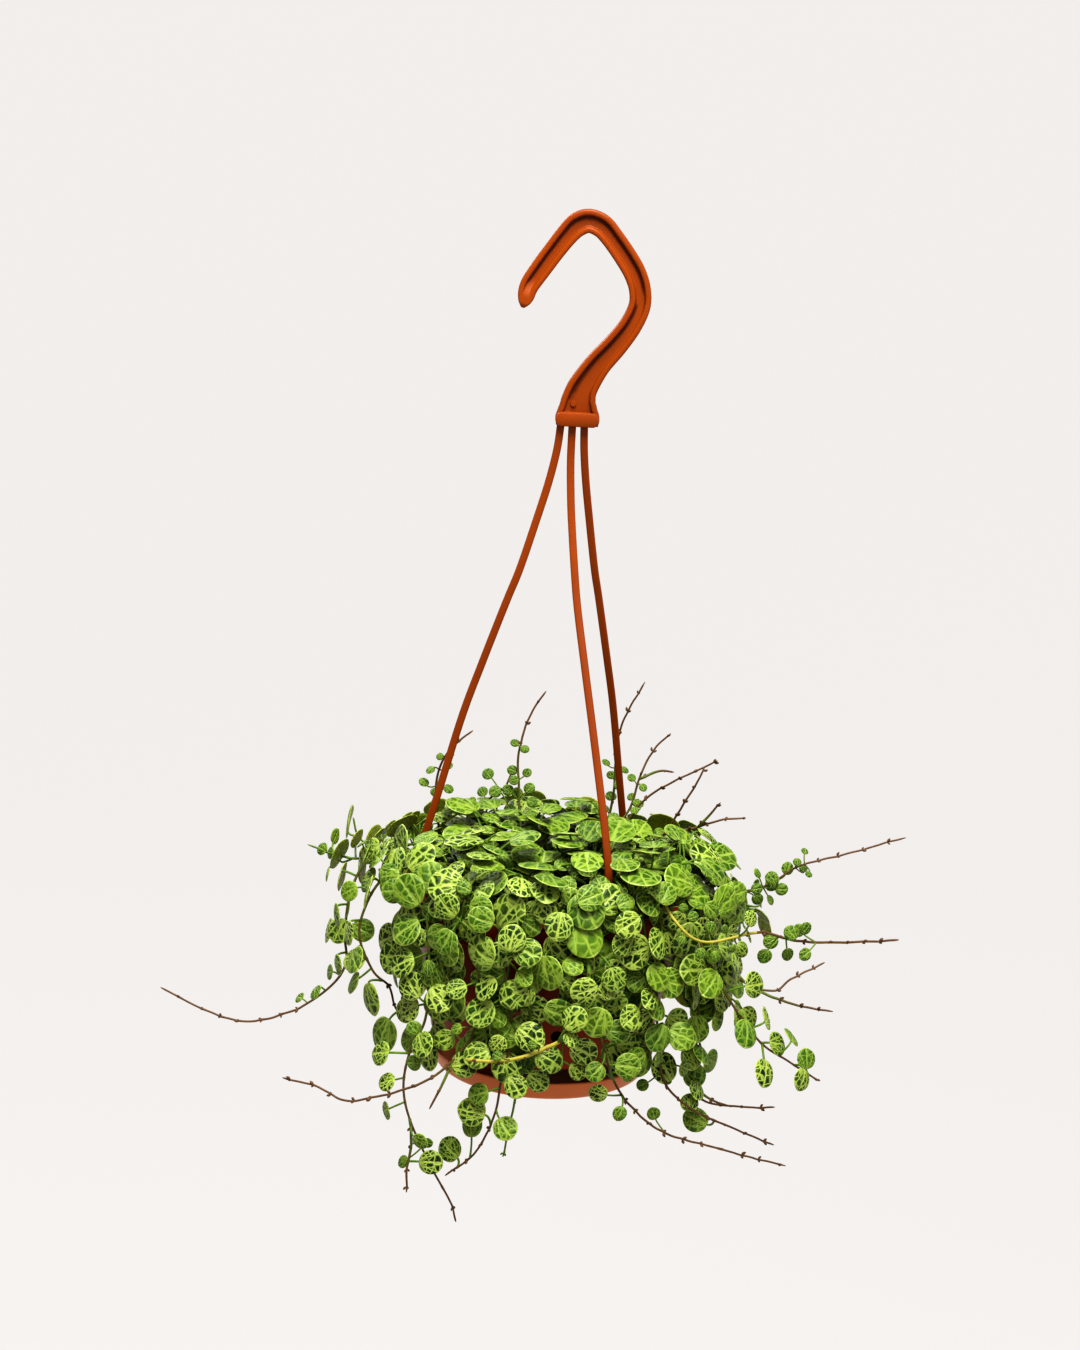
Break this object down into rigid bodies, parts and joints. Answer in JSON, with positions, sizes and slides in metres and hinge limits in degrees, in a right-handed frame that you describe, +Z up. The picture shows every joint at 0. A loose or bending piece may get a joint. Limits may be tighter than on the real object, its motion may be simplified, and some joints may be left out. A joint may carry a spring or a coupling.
{
  "type": "potted string of turtles in a hanging pot",
  "caption": "trailing plant with small round patterned fleshy leaves in a terracotta-coloured plastic hanging pot with a clip-on saucer and a hook hanger with three strands",
  "frame": {"origin": "the bearing point at the top of the inside of the hook, on the pot's axis", "axes": "+Z up along the pot's axis, X along the flat of the hook with its mouth towards -X, Y through the hook from front (-Y) to back"},
  "size_m": [0.2994, 0.1599, 0.3963],
  "materials": {
    "hanger_plastic": "satin moulded polypropylene, terracotta orange",
    "pot_plastic": "satin moulded polypropylene, terracotta red-orange, lightly scuffed",
    "saucer_plastic": "satin moulded polypropylene, terracotta",
    "potting_mix": "dark damp peat and bark mix, matt and crumbly",
    "leaf": "fleshy waxy leaf, dark green patches between a net of pale yellow-green veins",
    "leaf_underside": "paler matt green underside, partly flushed olive and pink",
    "stem": "thin fleshy stem, yellow-green to pinkish brown"
  },
  "bodies": {
    "root": {"hanger": "hanger_plastic", "pot": "pot_plastic", "saucer": "saucer_plastic", "soil": "potting_mix", "stem_left_long": "leaf", "stem_left_loop": "leaf", "stem_left_spray": "leaf", "stem_left_short": "leaf", "stem_front_left_long": "leaf", "stem_front_left_reach": "leaf", "stem_front_curl": "leaf", "stem_front_drop": "leaf", "stem_front_cross": "leaf", "stem_right_low": "leaf", "stem_right_low_mid": "leaf", "stem_right_column": "leaf", "stem_right_big": "leaf", "stem_right_hook": "leaf", "stem_right_yellow": "leaf", "stem_right_pairs": "leaf", "stem_up_right_a": "leaf", "stem_up_right_b": "leaf", "stem_up_right_c": "leaf", "stem_up_right_d": "leaf", "stem_up_mid": "leaf", "stem_up_left": "leaf", "stem_up_back": "leaf", "stem_up_strand": "leaf", "stem_crown_1": "leaf", "stem_crown_2": "leaf", "stem_crown_3": "leaf", "stem_crown_4": "leaf", "stem_crown_5": "leaf", "stem_crown_6": "leaf", "stem_crown_7": "leaf", "stem_crown_8": "leaf", "stem_crown_9": "leaf", "stem_crown_10": "leaf", "stem_curtain_01": "leaf", "stem_curtain_02": "leaf", "stem_curtain_03": "leaf", "stem_curtain_04": "leaf", "stem_curtain_05": "leaf", "stem_curtain_06": "leaf", "stem_curtain_07": "leaf", "stem_curtain_08": "leaf", "stem_curtain_09": "leaf", "stem_curtain_10": "leaf", "stem_curtain_11": "leaf", "stem_curtain_12": "leaf", "stem_curtain_13": "leaf", "stem_curtain_14": "leaf", "stem_curtain_15": "leaf"}
  },
  "joints": []
}
